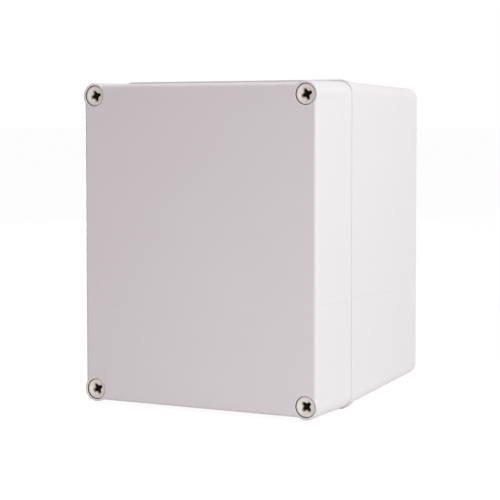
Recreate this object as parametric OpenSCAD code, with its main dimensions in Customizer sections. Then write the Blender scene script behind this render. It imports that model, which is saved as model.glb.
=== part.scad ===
// Deep project box for wall mounting: a tub-shaped base and a deep lid on four captive corner screws.
// Every piece is drawn with the box on its back, rear wall at z = 0 and lid upwards.
// stand() then sets it upright: width along X, height along Z, lid towards -Y, origin under the middle.

/* [Box] */
// Width over the rim
box_w = 160; // [136:1:200]
// Height over the rim, as the box stands
box_h = 200; // [170:1:260]
// Depth from the rear wall to the lid's face
box_d = 176; // [120:1:220]

/* [Lid] */
// Depth of the lid, from its face to the base's rim
lid_d = 49; // [42:1:64]
// How far the lid's edge stands back from the rim at its sides
lid_step_x = 0.2; // [0.1:0.05:0.9]
// How far the lid's edge stands back from the rim at its top and bottom
lid_step_y = 1; // [0.5:0.05:1.3]
// Radius of the lid's corners at its edge
edge_corner = 8.3; // [7.8:0.1:8.8]
// How far each side wall of the lid leans in on its way to the face
lid_lean_x = 2.2; // [1.5:0.05:2.5]
// How far the lid's top and bottom walls lean in on their way to the face
lid_lean_y = 1.75; // [1:0.05:2.2]
// Wall of the lid at its edge
lid_wall = 3; // [2.6:0.1:3.4]
// Thickness of the lid's face
lid_face = 3; // [2.4:0.1:4]
// Rounding round the lid's face
face_round = 2.3; // [1.5:0.1:3]
// Gap between the lid's edge and the rim
edge_gap = 0.3; // [0.2:0.05:0.5]

/* [Corner pillars] */
// Distance of each lid screw's axis in from the outside of the rim
screw_inset = 9.4; // [9:0.1:10]
// Radius of the corner pillar at the lid's face
pillar_r = 7.8; // [7.6:0.05:8.4]
// Rounding of the pillar at the lid's face
pillar_round = 1; // [0.5:0.1:1.2]
// Hollow rounding between a pillar and the walls beside it
pillar_blend = 3; // [1:0.5:5]
// Wall of the pillar round the keeper's room, inside the lid
pillar_wall = 2.2; // [1.8:0.1:3]

/* [Base] */
// Depth of the rim, which stands out all round the mouth of the base
rim_d = 6.5; // [5.5:0.5:10]
// How far the rim stands out from the wall below it
rim_step = 1.1; // [0.6:0.1:2]
// Radius of the rim's corners
rim_corner = 8.2; // [7.6:0.1:9]
// Rounding of the rim's edges
rim_round = 0.5; // [0.3:0.1:0.8]
// Hollow rounding where the rim meets the wall below it
rim_foot = 0.5; // [0.2:0.1:1]
// How far each outer wall of the base leans in on its way to the rear
base_lean = 1.9; // [1:0.1:2.4]
// Radius of the corners of the base's outer wall
base_corner = 7.4; // [6:0.1:8]
// Rounding round the rear wall
rear_round = 3; // [1:0.5:4]
// How far each inner wall of the base leans in on its way to the floor
core_lean = 1; // [0.5:0.1:1.5]
// Thickness of the rear wall
floor_t = 3.5; // [3:0.5:5]

/* [Seal] */
// Width of the groove for the gasket
groove_w = 2.4; // [2:0.1:2.8]
// Depth of the groove
groove_d = 5; // [4:0.5:6]
// Wall between the groove and the inside of the base
groove_lip = 1.65; // [1.2:0.05:2]
// Height of the gasket in its groove
gasket_h = 3; // [2:0.5:3.5]
// Clearance at each side of the gasket
gasket_gap = 0.05; // [0.02:0.01:0.15]
// Thickness of the lid's tongue, which presses on the gasket
tongue_t = 1.4; // [1:0.1:1.6]
// Radius of the seal line where it turns a corner
seal_turn = 5; // [3:0.5:6]

/* [Corner pockets] */
// Distance from each lid screw across to the wall fixing beside it
fix_shift = 16.6; // [15:0.1:20]
// Diameter of the holes for the wall fixings
fix_d = 5.5; // [4.5:0.5:6.5]
// Width of the pocket over each wall fixing
pocket_w = 8.4; // [7.6:0.1:9]
// How far the pocket runs on past the wall fixing, away from the screw
pocket_end = 6.5; // [5:0.5:8]
// Radius of the pocket's corners
pocket_turn = 3; // [1:0.5:3.5]
// Thickness of the rear wall under each pocket
pocket_floor = 5; // [4:0.5:8]
// Wall between the pocket and the outside of the base
pocket_wall = 3.3; // [2.8:0.1:4]
// Wall between the pocket and the gasket's groove
seal_wall = 1.6; // [1.2:0.1:2.4]
// Wall of the screw post in the base
post_wall = 2.4; // [2:0.1:3]

/* [Lid screws] */
// Diameter of the screw's head
head_d = 12.2; // [11.4:0.1:12.6]
// Height of the head
head_h = 4.8; // [4:0.1:6]
// How far the head sits below the lid's face
head_sunk = 0.8; // [0.4:0.1:2]
// Clearance round the head in its well
head_gap = 0.35; // [0.2:0.05:0.5]
// Rounding of the head's edge
head_round = 0.8; // [0.4:0.1:1.2]
// Diameter of the plain shank
shank_d = 5.2; // [4.6:0.1:5.6]
// Diameter over the thread
thread_d = 6.4; // [6:0.1:7]
// Clearance round the thread in the base's post
thread_gap = 0.2; // [0.1:0.05:0.3]
// How far the thread reaches into the post
thread_reach = 9; // [7:0.5:12]
// Clearance round the thread in the lid's guide bore
guide_gap = 0.3; // [0.2:0.05:0.6]
// Reach of each arm of the cross recess from the axis
cross_reach = 3.8; // [3:0.1:4]
// Width of each arm of the cross recess
cross_w = 1.9; // [1.4:0.1:2.2]
// Depth of the cross recess
cross_depth = 3.4; // [2.5:0.1:3.8]
// Radius of the shallow dish round the cross recess
dish_r = 4.1; // [4:0.1:4.6]
// Depth of the dish
dish_depth = 0.5; // [0.2:0.1:0.8]

/* [Keepers] */
// Thickness of the split ring that holds each screw in the lid
keeper_t = 1.5; // [1:0.1:2]
// Clearance between the keeper and the screw's shank
keeper_gap = 0.1; // [0.05:0.05:0.15]
// Clearance between the keeper and its room in the lid
room_gap = 0.4; // [0.3:0.05:0.6]
// Width of the keeper's ring
keeper_w = 1.9; // [1.5:0.1:2.2]
// Width of the keeper's split
keeper_split = 1; // [0.6:0.1:1.6]
// Clearance between the keeper and the start of the thread
keeper_seat = 0.3; // [0.1:0.1:0.5]
// Room that the keeper still has in front of it when its screw is right out
keeper_spare = 1.5; // [0.5:0.5:3]
// Length of thread that is left in the lid while the box is shut
thread_spare = 3.7; // [3:0.1:5]

/* [Plate bosses] */
// Distance of each boss in from the side walls of the base's inside
plate_inset_x = 16.65; // [12:0.05:24]
// Distance of each boss in from the corner blocks
plate_inset_y = 9.65; // [8:0.05:20]
// Height of a boss above the floor
boss_h = 12; // [10:1:20]
// Radius of a boss
boss_r = 4.8; // [4.4:0.1:6]
// Outer diameter of a threaded insert
insert_d = 5.6; // [5:0.1:6]
// Bore of a threaded insert
insert_bore = 3.3; // [2.5:0.1:3.6]
// Length of a threaded insert
insert_l = 8; // [5:0.5:9]
// Space left under the insert
insert_spare = 1; // [0.5:0.5:2]
// Depth of the waist between the insert's two knurled bands
insert_waist = 0.3; // [0.1:0.05:0.4]
// Thickness of the gussets round a boss
gusset_t = 1.5; // [1:0.1:2]
// Reach of the gussets from a boss's wall
gusset_reach = 4; // [2:0.5:5]

/* [Hidden] */
// Where each corner lies across and up, and how far its screw has been left turned
corners = [
    ["top_left", -1, 1, 18],
    ["top_right", 1, 1, 22],
    ["bottom_left", -1, -1, 30],
    ["bottom_right", 1, -1, 45],
];

$fn = 48;
fine = 72;
over = 1;                                  // how far a cut runs past the face that it opens
quarter_steps = 12;                        // steps round the quarter of a lofted corner
edge_land = 1;                             // height over which the lid's edge stays upright
pillar_proud = 0.05;                       // how far a pillar stands proud of the lid's corner at its edge

seam = box_d - lid_d;                      // level of the rim's top
rim_x = box_w / 2;
rim_y = box_h / 2;
edge_x = rim_x - lid_step_x;               // lid's outline at its edge
edge_y = rim_y - lid_step_y;
screw_x = rim_x - screw_inset;
screw_y = rim_y - screw_inset;
mouth_x = rim_x - rim_step;                // base's outline under its rim
mouth_y = rim_y - rim_step;
rear_x = mouth_x - base_lean;
rear_y = mouth_y - base_lean;

// Pockets in the corners, outside the seal
fix_x = screw_x - fix_shift;
fix_y = rear_y - pocket_wall - pocket_w / 2;
pocket_from = fix_x - pocket_end;

// The seal line is a cross of two rounded rectangles that leaves the corners outside
seal_x = edge_x - lid_wall + tongue_t / 2;
seal_y = edge_y - lid_wall + tongue_t / 2;
notch_x = pocket_from - seal_wall - groove_w / 2;
notch_y = fix_y - pocket_w / 2 - seal_wall - groove_w / 2;
core_off = -groove_w / 2 - groove_lip;     // base's inside, measured from the seal line
hollow_off = -tongue_t / 2;                // lid's inside, measured from the seal line

// Screws and keepers
well_r = head_d / 2 + head_gap;
well_d = head_sunk + head_h;
guide_r = thread_d / 2 + guide_gap;
thread_hole_r = thread_d / 2 + thread_gap;
post_r = thread_hole_r + post_wall;
thread_top = seam + thread_spare;
screw_tip = seam - thread_reach;
keeper_low = thread_top + keeper_seat;
keeper_bore_r = shank_d / 2 + keeper_gap;
keeper_r = keeper_bore_r + keeper_w;
room_r = keeper_r + room_gap;
room_top = keeper_low + keeper_t + thread_reach + keeper_spare;

// Plate bosses
plate_x = seal_x + core_off - plate_inset_x;
plate_y = notch_y + core_off - plate_inset_y;
boss_top = floor_t + boss_h;

module stand() {
    translate([0, box_d / 2, box_h / 2]) rotate([90, 0, 0]) children();
}

module at_corners(x, y) {
    for (c = corners) translate([c[1] * x, c[2] * y, 0]) children();
}

// One corner's pieces, drawn for the upper right and mirrored into the others
module each_corner() {
    for (c = corners) mirror([c[1] < 0 ? 1 : 0, 0, 0]) mirror([0, c[2] < 0 ? 1 : 0, 0]) children();
}

// Points round an arc, without the first and the last skip of them
function arc(x, y, r, from, to, steps, skip = 0) =
    [for (i = [skip:steps - skip]) let (a = from + (to - from) * i / steps) [x + r * cos(a), y + r * sin(a)]];

// Closed outline from its upper right quarter, which runs from the right side to the top
function all_round(quarter) = let (last = len(quarter) - 1) concat(
    quarter,
    [for (i = [last:-1:0]) [-quarter[i][0], quarter[i][1]]],
    -quarter,
    [for (i = [last:-1:0]) [quarter[i][0], -quarter[i][1]]]);

// Insets and rises of a rounding, from its upright end to its flat end
function round_edge(r, step = 18) = [for (a = [0:step:90]) [r * (1 - cos(a)), r * sin(a)]];

function upside_down(steps) = [for (i = [len(steps) - 1:-1:0]) [steps[i][0], -steps[i][1]]];

// Skin over rings, each an outline and its level, from the lowest to the highest.
// It runs on past both ends and is cut off there, so that each end is one flat face.
module loft(rings) {
    first = rings[0];
    last = rings[len(rings) - 1];
    longer = concat([[first[0], first[1] - over]], rings, [[last[0], last[1] + over]]);
    count = len(first[0]);
    highest = len(longer) - 1;
    points = [for (ring = longer) for (p = ring[0]) [p[0], p[1], ring[1]]];
    sides = [for (k = [0:highest - 1]) for (i = [0:count - 1]) let (low = k * count, j = (i + 1) % count)
        [low + i, low + count + i, low + count + j, low + j]];
    intersection() {
        polyhedron(points, concat(
            [[for (i = [0:count - 1]) i]], sides, [[for (i = [count - 1:-1:0]) highest * count + i]]));
        translate([-rim_x - over, -rim_y - over, first[1]])
            cube([2 * (rim_x + over), 2 * (rim_y + over), last[1] - first[1]]);
    }
}

module rounded(x, y, r) {
    square([2 * x, 2 * (y - r)], center = true);
    square([2 * (x - r), 2 * y], center = true);
    at_corners(x - r, y - r) circle(r);
}

// The seal line's outline, grown by g
module seal_outline(g) {
    turn = seal_turn + g;
    inner = seal_turn - g;
    rounded(notch_x + g, seal_y + g, turn);
    rounded(seal_x + g, notch_y + g, turn);
    each_corner() translate([notch_x + g, notch_y + g]) difference() {
        translate([-over, -over]) square(over + inner);
        translate([inner, inner]) circle(inner);
    }
}

module seal_ring(half) {
    difference() {
        seal_outline(half);
        seal_outline(-half);
    }
}

// Prism inside the seal line, whose walls lean in across and up on its way
module core(g, h, across, up) {
    linear_extrude(height = h, scale = [1 - across / (seal_x + g), 1 - up / (seal_y + g)], slices = 1)
        seal_outline(g);
}

// Pocket over a wall fixing, which runs up to the screw's own tube
module pocket_outline(tube_r) {
    difference() {
        translate([(pocket_from + screw_x) / 2, fix_y])
            rounded((screw_x - pocket_from) / 2, pocket_w / 2, pocket_turn);
        translate([screw_x, screw_y]) circle(tube_r);
    }
}

module base() {
    color("WhiteSmoke") difference() {
        union() {
            difference() {
                base_outside();
                translate([0, 0, seam + over]) mirror([0, 0, 1])
                    core(core_off, seam + over - floor_t, core_lean, core_lean);
            }
            plate_bosses();
        }
        translate([0, 0, seam - groove_d]) linear_extrude(groove_d + over) seal_ring(groove_w / 2);
        each_corner() {
            translate([0, 0, pocket_floor]) linear_extrude(seam) pocket_outline(post_r);
            translate([fix_x, fix_y, -over]) cylinder(r = fix_d / 2, h = pocket_floor + 2 * over);
            translate([screw_x, screw_y, screw_tip - over]) cylinder(r = thread_hole_r, h = seam);
        }
        at_corners(plate_x, plate_y) translate([0, 0, boss_top - insert_l - insert_spare])
            cylinder(r = insert_d / 2, h = insert_l + insert_spare + over);
    }
}

// Ring of a tub whose sides are x and y out from the middle
function tub_ring(x, y, r, z) = [all_round(arc(x - r, y - r, r, 0, 90, quarter_steps)), z];

// Leaning walls, a rounded rear and a rim that stands out round the mouth
module base_outside() {
    rim_low = seam - rim_d;
    foot = min(rim_foot, rim_step - rim_round);
    flare = (rim_corner - base_corner) / rim_step;
    loft(concat(
        [for (e = upside_down(round_edge(rear_round)))
            tub_ring(rear_x - e[0], rear_y - e[0], base_corner - e[0], rear_round + e[1])],
        [for (e = round_edge(foot))
            tub_ring(mouth_x + e[0], mouth_y + e[0], base_corner + flare * e[0], rim_low - foot + e[1])],
        [for (e = upside_down(round_edge(rim_round)))
            tub_ring(rim_x - e[0], rim_y - e[0], rim_corner - e[0], rim_low + rim_round + e[1])],
        [for (e = round_edge(rim_round))
            tub_ring(rim_x - e[0], rim_y - e[0], rim_corner - e[0], seam - rim_round + e[1])]));
}

module plate_bosses() {
    sunk = floor_t - over;
    at_corners(plate_x, plate_y) {
        translate([0, 0, sunk]) cylinder(r = boss_r, h = boss_top - sunk);
        for (a = [0:90:270]) rotate([90, 0, a]) translate([0, sunk, -gusset_t / 2]) linear_extrude(gusset_t)
            polygon([[boss_r - over, 0], [boss_r + gusset_reach, 0], [boss_r + gusset_reach, over],
                     [boss_r, over + boss_h / 2], [boss_r - over, over + boss_h / 2]]);
    }
}

module lid() {
    tongue_low = seam - groove_d + gasket_h;
    color("WhiteSmoke") difference() {
        union() {
            difference() {
                lid_outside();
                translate([0, 0, seam + edge_gap - over])
                    core(hollow_off, lid_d - edge_gap - lid_face + over, lid_lean_x, lid_lean_y);
                translate([0, 0, seam - over]) each_corner()
                    linear_extrude(lid_d - lid_face + over) pocket_outline(room_r + pillar_wall);
            }
            translate([0, 0, tongue_low]) linear_extrude(seam + edge_gap + over - tongue_low)
                seal_ring(tongue_t / 2);
            // Each pillar ends in a seat that meets the base's post
            translate([0, 0, seam]) at_corners(screw_x, screw_y)
                cylinder(r = room_r + pillar_wall / 2, h = edge_gap + over);
        }
        at_corners(screw_x, screw_y) {
            translate([0, 0, box_d - well_d]) cylinder(r = well_r, h = well_d + over);
            translate([0, 0, seam]) cylinder(r = guide_r, h = lid_d);
            translate([0, 0, seam - over]) cylinder(r = room_r, h = room_top - seam + over);
        }
    }
}

// Ring of the lid, whose walls are x and y out from the middle, with a pillar round each screw
function lid_ring(x, y, pillar, z) =
    let (px = pillar[0], py = pillar[1], r = pillar[2], reach = r + pillar_blend,
         near_x = min(reach, x - px + pillar_blend), away_x = sqrt(pow(reach, 2) - pow(near_x, 2)),
         near_y = min(reach, y - py + pillar_blend), away_y = sqrt(pow(reach, 2) - pow(near_y, 2)),
         turn_x = atan2(away_x, near_x), turn_y = atan2(away_y, near_y))
    [all_round(concat(
        arc(px + near_x, py - away_x, pillar_blend, 180, 180 - turn_x, 4),
        arc(px, py, r, -turn_x, 90 + turn_y, 18, skip = 1),
        arc(px - away_y, py + near_y, pillar_blend, turn_y - 90, -90, 4))), z];

// Leaning walls that turn over into the face, with a pillar standing proud at each corner
module lid_outside() {
    h = lid_d - edge_gap;
    turn_over = h - face_round;
    top_x = edge_x - lid_lean_x;
    top_y = edge_y - lid_lean_y;
    translate([0, 0, seam + edge_gap]) loft(concat(
        [for (z = [0, edge_land]) lid_ring(edge_x, edge_y, pillar_at(z, h), z)],
        [for (e = round_edge(face_round, 10))
            lid_ring(top_x - e[0], top_y - e[0], pillar_at(turn_over + e[1], h), turn_over + e[1])]));
}

// Centre and radius of a pillar at a height above the lid's edge. It leaves the lid's rounded corner
// and comes to stand round its screw.
function pillar_at(z, h) =
    let (crest = h - pillar_round, up = min(z / crest, 1), low_r = edge_corner + pillar_proud)
    [screw_x + (edge_x - edge_corner - screw_x) * (1 - up),
     screw_y + (edge_y - edge_corner - screw_y) * (1 - up),
     z <= crest ? low_r + (pillar_r - low_r) * up
     : pillar_r - pillar_round + sqrt(max(0, pow(pillar_round, 2) - pow(z - crest, 2)))];

module gasket() {
    color("DimGray") translate([0, 0, seam - groove_d]) linear_extrude(gasket_h)
        seal_ring(groove_w / 2 - gasket_gap);
}

module lid_screw(turned) {
    top = box_d - head_sunk;
    low = top - head_h;
    tip = thread_d / 2 - shank_d / 2;
    arc = [for (a = [0:15:90]) [head_d / 2 - head_round * (1 - cos(a)), top - head_round * (1 - sin(a))]];
    color("Ivory") difference() {
        rotate_extrude($fn = fine) polygon(concat(
            [[0, screw_tip], [shank_d / 2, screw_tip], [thread_d / 2, screw_tip + tip],
             [thread_d / 2, thread_top - tip], [shank_d / 2, thread_top], [shank_d / 2, low], [head_d / 2, low]],
            arc, [[0, top]]));
        translate([0, 0, top - dish_depth]) cylinder(r1 = dish_r - dish_depth, r2 = dish_r, h = dish_depth);
        translate([0, 0, top - cross_depth]) rotate(turned) cross_recess();
    }
}

// Four arms that narrow towards the bottom of the recess
module cross_recess() {
    intersection() {
        union() for (a = [0, 90]) rotate(a) translate([-dish_r, -cross_w / 2, 0])
            cube([2 * dish_r, cross_w, cross_depth + over]);
        cylinder(r1 = cross_w, r2 = cross_reach, h = cross_depth + over);
    }
}

module screw_keeper() {
    color("Gainsboro") translate([0, 0, keeper_low]) linear_extrude(keeper_t) difference() {
        circle(keeper_r);
        circle(keeper_bore_r);
        translate([0, -keeper_split / 2]) square([keeper_r + over, keeper_split]);
    }
}

module plate_insert() {
    r = insert_d / 2;
    band = insert_l * 0.4;
    color("Goldenrod") translate([0, 0, boss_top - insert_l]) rotate_extrude($fn = fine) polygon([
        [insert_bore / 2, 0], [r, 0], [r, band], [r - insert_waist, band],
        [r - insert_waist, insert_l - band], [r, insert_l - band], [r, insert_l], [insert_bore / 2, insert_l]]);
}

stand() base();
stand() lid();
stand() gasket();
for (c = corners) {
    stand() translate([c[1] * screw_x, c[2] * screw_y, 0]) lid_screw(c[3]);
    stand() translate([c[1] * screw_x, c[2] * screw_y, 0]) screw_keeper();
    stand() translate([c[1] * plate_x, c[2] * plate_y, 0]) plate_insert();
}
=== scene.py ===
"""Deep wall box with a tall lid on four captive corner screws: its looks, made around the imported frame.

The pieces are drawn with the box on its back, in millimetres: x across, y up the box, and z from the
rear wall towards the lid's face. upright() then stands each finished mesh in the frame, in metres.
"""

import math

import bpy
from mathutils import Matrix, Vector


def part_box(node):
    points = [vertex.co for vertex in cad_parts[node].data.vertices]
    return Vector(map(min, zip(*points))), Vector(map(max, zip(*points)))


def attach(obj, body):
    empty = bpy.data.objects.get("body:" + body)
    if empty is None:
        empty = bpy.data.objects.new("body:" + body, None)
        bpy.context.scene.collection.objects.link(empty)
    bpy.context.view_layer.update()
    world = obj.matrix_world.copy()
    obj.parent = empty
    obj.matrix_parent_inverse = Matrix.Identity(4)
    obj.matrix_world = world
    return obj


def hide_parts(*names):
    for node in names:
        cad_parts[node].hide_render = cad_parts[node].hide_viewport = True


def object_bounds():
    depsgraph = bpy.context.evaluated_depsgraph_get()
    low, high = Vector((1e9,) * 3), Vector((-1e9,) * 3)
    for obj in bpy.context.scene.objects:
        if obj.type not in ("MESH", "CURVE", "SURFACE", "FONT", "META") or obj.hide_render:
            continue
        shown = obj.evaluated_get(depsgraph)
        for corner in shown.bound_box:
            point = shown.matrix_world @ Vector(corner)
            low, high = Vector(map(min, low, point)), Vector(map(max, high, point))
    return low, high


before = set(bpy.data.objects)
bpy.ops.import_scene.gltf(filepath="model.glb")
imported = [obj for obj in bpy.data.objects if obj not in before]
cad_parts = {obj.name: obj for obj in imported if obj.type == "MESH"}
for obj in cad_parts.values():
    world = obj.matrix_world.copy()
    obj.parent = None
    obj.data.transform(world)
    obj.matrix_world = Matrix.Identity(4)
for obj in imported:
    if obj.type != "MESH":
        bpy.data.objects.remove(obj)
cad_low, cad_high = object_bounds()

# ---------------------------------------------------------------- sizes, from the frame

MM = 0.001
# Each corner's side across, side up, and how far its screw has been left turned, in degrees.
CORNERS = {
    "top_left": (-1, 1, 18),
    "top_right": (1, 1, 22),
    "bottom_left": (-1, -1, 30),
    "bottom_right": (1, -1, 45),
}

BOX_W = (cad_high.x - cad_low.x) / MM
BOX_D = (cad_high.y - cad_low.y) / MM
BOX_H = (cad_high.z - cad_low.z) / MM
MIDDLE_Z = (cad_high.z + cad_low.z) / 2


def depth_of(y):
    """Level above the rear wall, in millimetres, of a place along the frame's Y."""
    return (cad_high.y - y) / MM


SEAM = depth_of(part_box("base")[0].y)
TONGUE_LOW = depth_of(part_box("lid")[1].y)
gasket_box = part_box("gasket")
GASKET_LOW = depth_of(gasket_box[1].y)
GASKET_HIGH = depth_of(gasket_box[0].y)
screw_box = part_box("lid_screw_top_right")
SCREW_X = (screw_box[0].x + screw_box[1].x) / 2 / MM
SCREW_Y = ((screw_box[0].z + screw_box[1].z) / 2 - MIDDLE_Z) / MM
SCREW_AT = (SCREW_X, SCREW_Y)
HEAD_R = (screw_box[1].x - screw_box[0].x) / 2 / MM
HEAD_TOP = depth_of(screw_box[0].y)
SCREW_TIP = depth_of(screw_box[1].y)
keeper_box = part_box("screw_keeper_top_right")
KEEPER_LOW = depth_of(keeper_box[1].y)
KEEPER_HIGH = depth_of(keeper_box[0].y)
KEEPER_R = (keeper_box[1].z - keeper_box[0].z) / 2 / MM
insert_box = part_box("plate_insert_top_right")
PLATE_X = (insert_box[0].x + insert_box[1].x) / 2 / MM
PLATE_Y = ((insert_box[0].z + insert_box[1].z) / 2 - MIDDLE_Z) / MM
PLATE_AT = (PLATE_X, PLATE_Y)
INSERT_R = (insert_box[1].x - insert_box[0].x) / 2 / MM
INSERT_LOW = depth_of(insert_box[1].y)
BOSS_TOP = depth_of(insert_box[0].y)

# ---------------------------------------------------------------- sizes, in millimetres
# A LEAN is how far a wall leans in over its height, a ROUND is the radius of a rounded edge, and
# an EASE is the size of a small chamfer or rounding that takes off the sharpness of an edge.

PAST = 1.0  # how far a cut runs past the face that it opens
HAIR = 0.01  # rise of a flat ledge, so that each level of a solid is higher than the last

# The base and its rim.
RIM_X = BOX_W / 2
RIM_Y = BOX_H / 2
RIM_D = 6.5  # depth of the rim
RIM_STEP = 1.1  # how far it stands out
RIM_CORNER = 8.2
RIM_ROUND = 0.55
RIM_EASE = 0.2  # beside the lid
RIM_FOOT = 0.5  # hollow rounding where the rim meets the wall below it
BASE_CORNER = 7.4
BASE_LEAN = 1.9
REAR_ROUND = 3.0
CORE_LEAN = 1.0
MOUTH_EASE = 0.4
FLOOR_T = 3.5
FLOOR_ROUND = 2.0  # between the inner walls and the floor

# The lid and its pillars.
LID_STEP_X = 0.2  # how far the lid's edge stands back from the rim at its sides
LID_STEP_Y = 1.0  # and at its top and bottom
LID_LEAN_X = 1.9
LID_LEAN_Y = 1.75
LID_WALL = 3.0
LID_FACE = 3.0
FACE_ROUND = 2.3
CEILING_ROUND = 1.5
EDGE_X = RIM_X - LID_STEP_X
EDGE_Y = RIM_Y - LID_STEP_Y
EDGE_CORNER = 8.3
EDGE_GAP = 0.3
EDGE_ROUND = 0.2
EDGE_LAND = 1.0  # height over which the lid's edge stays upright
PILLAR_PROUD = 0.05  # how far a pillar stands proud of the lid's corner at its edge
PILLAR_R = 7.8
PILLAR_ROUND = 1.0
PILLAR_BLEND = 3.0  # hollow rounding between a pillar and the walls beside it
PILLAR_WALL = 2.2
SEAT_EASE = 0.2

# The seal: a tongue on the lid presses a gasket in the base's groove.
TONGUE_T = 1.4
TONGUE_EASE = 0.3
SEAL_X = EDGE_X - LID_WALL + TONGUE_T / 2
SEAL_Y = EDGE_Y - LID_WALL + TONGUE_T / 2
SEAL_TURN = 5.0
GROOVE_W = 2.4
GROOVE_D = 5.0
GROOVE_EASE = 0.3
GROOVE_LIP = 1.65
GASKET_GAP = 0.1
GASKET_ROUND = 0.5
CORE_OFF = -GROOVE_W / 2 - GROOVE_LIP
HOLLOW_OFF = -TONGUE_T / 2

# The wall fixings and the pockets over them.
FIX_SHIFT = 16.6
FIX_D = 5.5
FIX_EASE = 0.4
POCKET_W = 8.4
POCKET_END = 6.5
POCKET_TURN = 3.0
POCKET_FLOOR = 5.0
POCKET_ROUND = 1.0
POCKET_WALL = 3.3
BASE_POCKET_EASE = 0.15
LID_POCKET_EASE = 0.2
SEAL_WALL = 1.6
FIX_X = SCREW_X - FIX_SHIFT
FIX_Y = RIM_Y - RIM_STEP - BASE_LEAN - POCKET_WALL - POCKET_W / 2
POCKET_FROM = FIX_X - POCKET_END
NOTCH_X = POCKET_FROM - SEAL_WALL - GROOVE_W / 2
NOTCH_Y = FIX_Y - POCKET_W / 2 - SEAL_WALL - GROOVE_W / 2

# The lid's screws, the wells for their heads and the bores for their threads.
HEAD_GAP = 0.25
HEAD_H = 4.8
HEAD_ROUND = 0.6
HEAD_EASE = 0.3
WELL_R = HEAD_R + HEAD_GAP
WELL_FLOOR = HEAD_TOP - HEAD_H
WELL_LIP = 0.35
WELL_EASE = 0.3
SHANK_R = 2.6
TIP_TAPER = 0.8
TIP_H = 1.0
THREAD_R = 3.2
THREAD_MIDDLE_R = SHANK_R + 0.1
THREAD_W = 1.2
THREAD_ROUND = 0.3
THREAD_PITCH = 3.0
THREAD_TOP = KEEPER_LOW - 0.3
THREAD_START = SCREW_TIP + 0.7
THREAD_HOLE_R = THREAD_R + 0.2
THREAD_HOLE_EASE = 0.5
DRILL_TIP_R = 0.2
DRILL_TIP_H = 1.2
POST_R = THREAD_HOLE_R + 2.4
GUIDE_R = THREAD_R + 0.3
GUIDE_EASE = 0.4

# The keepers, and the room in which one travels with its screw.
KEEPER_T = 1.5
KEEPER_BORE_R = SHANK_R + 0.1
KEEPER_SPLIT = 1.0
KEEPER_ROUND = 0.25
TRAVEL = 9
ROOM_SPARE = 1.5
ROOM_EASE = 0.3
ROOM_R = KEEPER_R + 0.4
ROOM_TOP = KEEPER_LOW + KEEPER_T + TRAVEL + ROOM_SPARE

# The bosses for a mounting plate and their inserts.
BOSS_R = 4.8
BOSS_EASE = 0.3
BOSS_FOOT = 0.8  # hollow rounding where a boss meets the floor
BOSS_ROOT = 0.9  # how far it spreads below the floor
GUSSET_T = 1.5
GUSSET_H = 6.0
GUSSET_REACH = 4.0
GUSSET_SUNK = 0.5  # how far its top reaches into the boss
INSERT_BORE_R = 1.65
INSERT_GAP = 0.12  # between an insert's own skin and its hole, which the knurls fill
INSERT_EASE = 0.4
INSERT_TOP_EASE = 0.3
INSERT_TURNS = 9
INSERT_THREAD_END = 0.5  # how far its thread stays from either end
INSERT_THREAD_D = 0.28
INSERT_THREAD_RISE = 0.35
WAIST_D = 0.45
WAIST_H = 1.0
WAIST_SLOPE = 0.3
KNURLS = 32
KNURL_W = 0.34
KNURL_MIDDLE = 0.24  # how far the middle of a knurl lies inside the insert's radius
KNURL_LOW = 0.5  # how far the lower band of knurls stays from the insert's lower end
KNURL_HIGH = 0.4  # and the upper band from its upper end
BAND_LESS = 1.2  # how much shorter a band is than half the insert

# ---------------------------------------------------------------- outlines


def arc(x, y, r, start, end, steps):
    """Points on a circle about (x, y), from the start angle to the end angle in degrees."""
    turns = [math.radians(start + (end - start) * i / steps) for i in range(steps + 1)]
    return [(x + r * math.cos(t), y + r * math.sin(t)) for t in turns]


def all_round(quarter):
    """Closed outline from its upper right quarter, which runs from the right side to the top."""
    back = quarter[::-1]
    return (
        quarter
        + [(-x, y) for x, y in back]
        + [(-x, -y) for x, y in quarter]
        + [(x, -y) for x, y in back]
    )


def rounded(x, y, r, steps=14):
    """Outline of a rounded rectangle, x and y out from the middle."""
    return all_round(arc(x - r, y - r, r, 0, 90, steps))


def seal_outline(grow, steps=8):
    """The seal line's outline: a cross of two rounded rectangles that leaves the corners outside."""
    turn = SEAL_TURN + grow
    inner = SEAL_TURN - grow
    quarter = (
        arc(SEAL_X - SEAL_TURN, NOTCH_Y - SEAL_TURN, turn, 0, 90, steps)
        + arc(NOTCH_X + SEAL_TURN, NOTCH_Y + SEAL_TURN, inner, 270, 180, steps)
        + arc(NOTCH_X - SEAL_TURN, SEAL_Y - SEAL_TURN, turn, 0, 90, steps)
    )
    return all_round(quarter)


def leaning_seal(grow, across, up):
    """The seal line's outline, drawn in by across at its sides and by up at its top and bottom."""
    wide = 1 - across / (SEAL_X + grow)
    tall = 1 - up / (SEAL_Y + grow)
    return [(x * wide, y * tall) for x, y in seal_outline(grow)]


def pillared(x, y, pillar, bend=7, steps=36):
    """Outline of the lid, whose walls are x and y out from the middle, with its four pillars."""
    pillar_x, pillar_y, r = pillar
    reach = r + PILLAR_BLEND
    near_x = min(x - pillar_x + PILLAR_BLEND, reach)
    near_y = min(y - pillar_y + PILLAR_BLEND, reach)
    away_x = math.sqrt(reach**2 - near_x**2)
    away_y = math.sqrt(reach**2 - near_y**2)
    turn_x = math.degrees(math.atan2(away_x, near_x))
    turn_y = math.degrees(math.atan2(away_y, near_y))
    quarter = (
        arc(pillar_x + near_x, pillar_y - away_x, PILLAR_BLEND, 180, 180 - turn_x, bend)
        + arc(pillar_x, pillar_y, r, -turn_x, 90 + turn_y, steps)[1:-1]
        + arc(pillar_x - away_y, pillar_y + near_y, PILLAR_BLEND, turn_y - 90, -90, bend)
    )
    return all_round(quarter)


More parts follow.
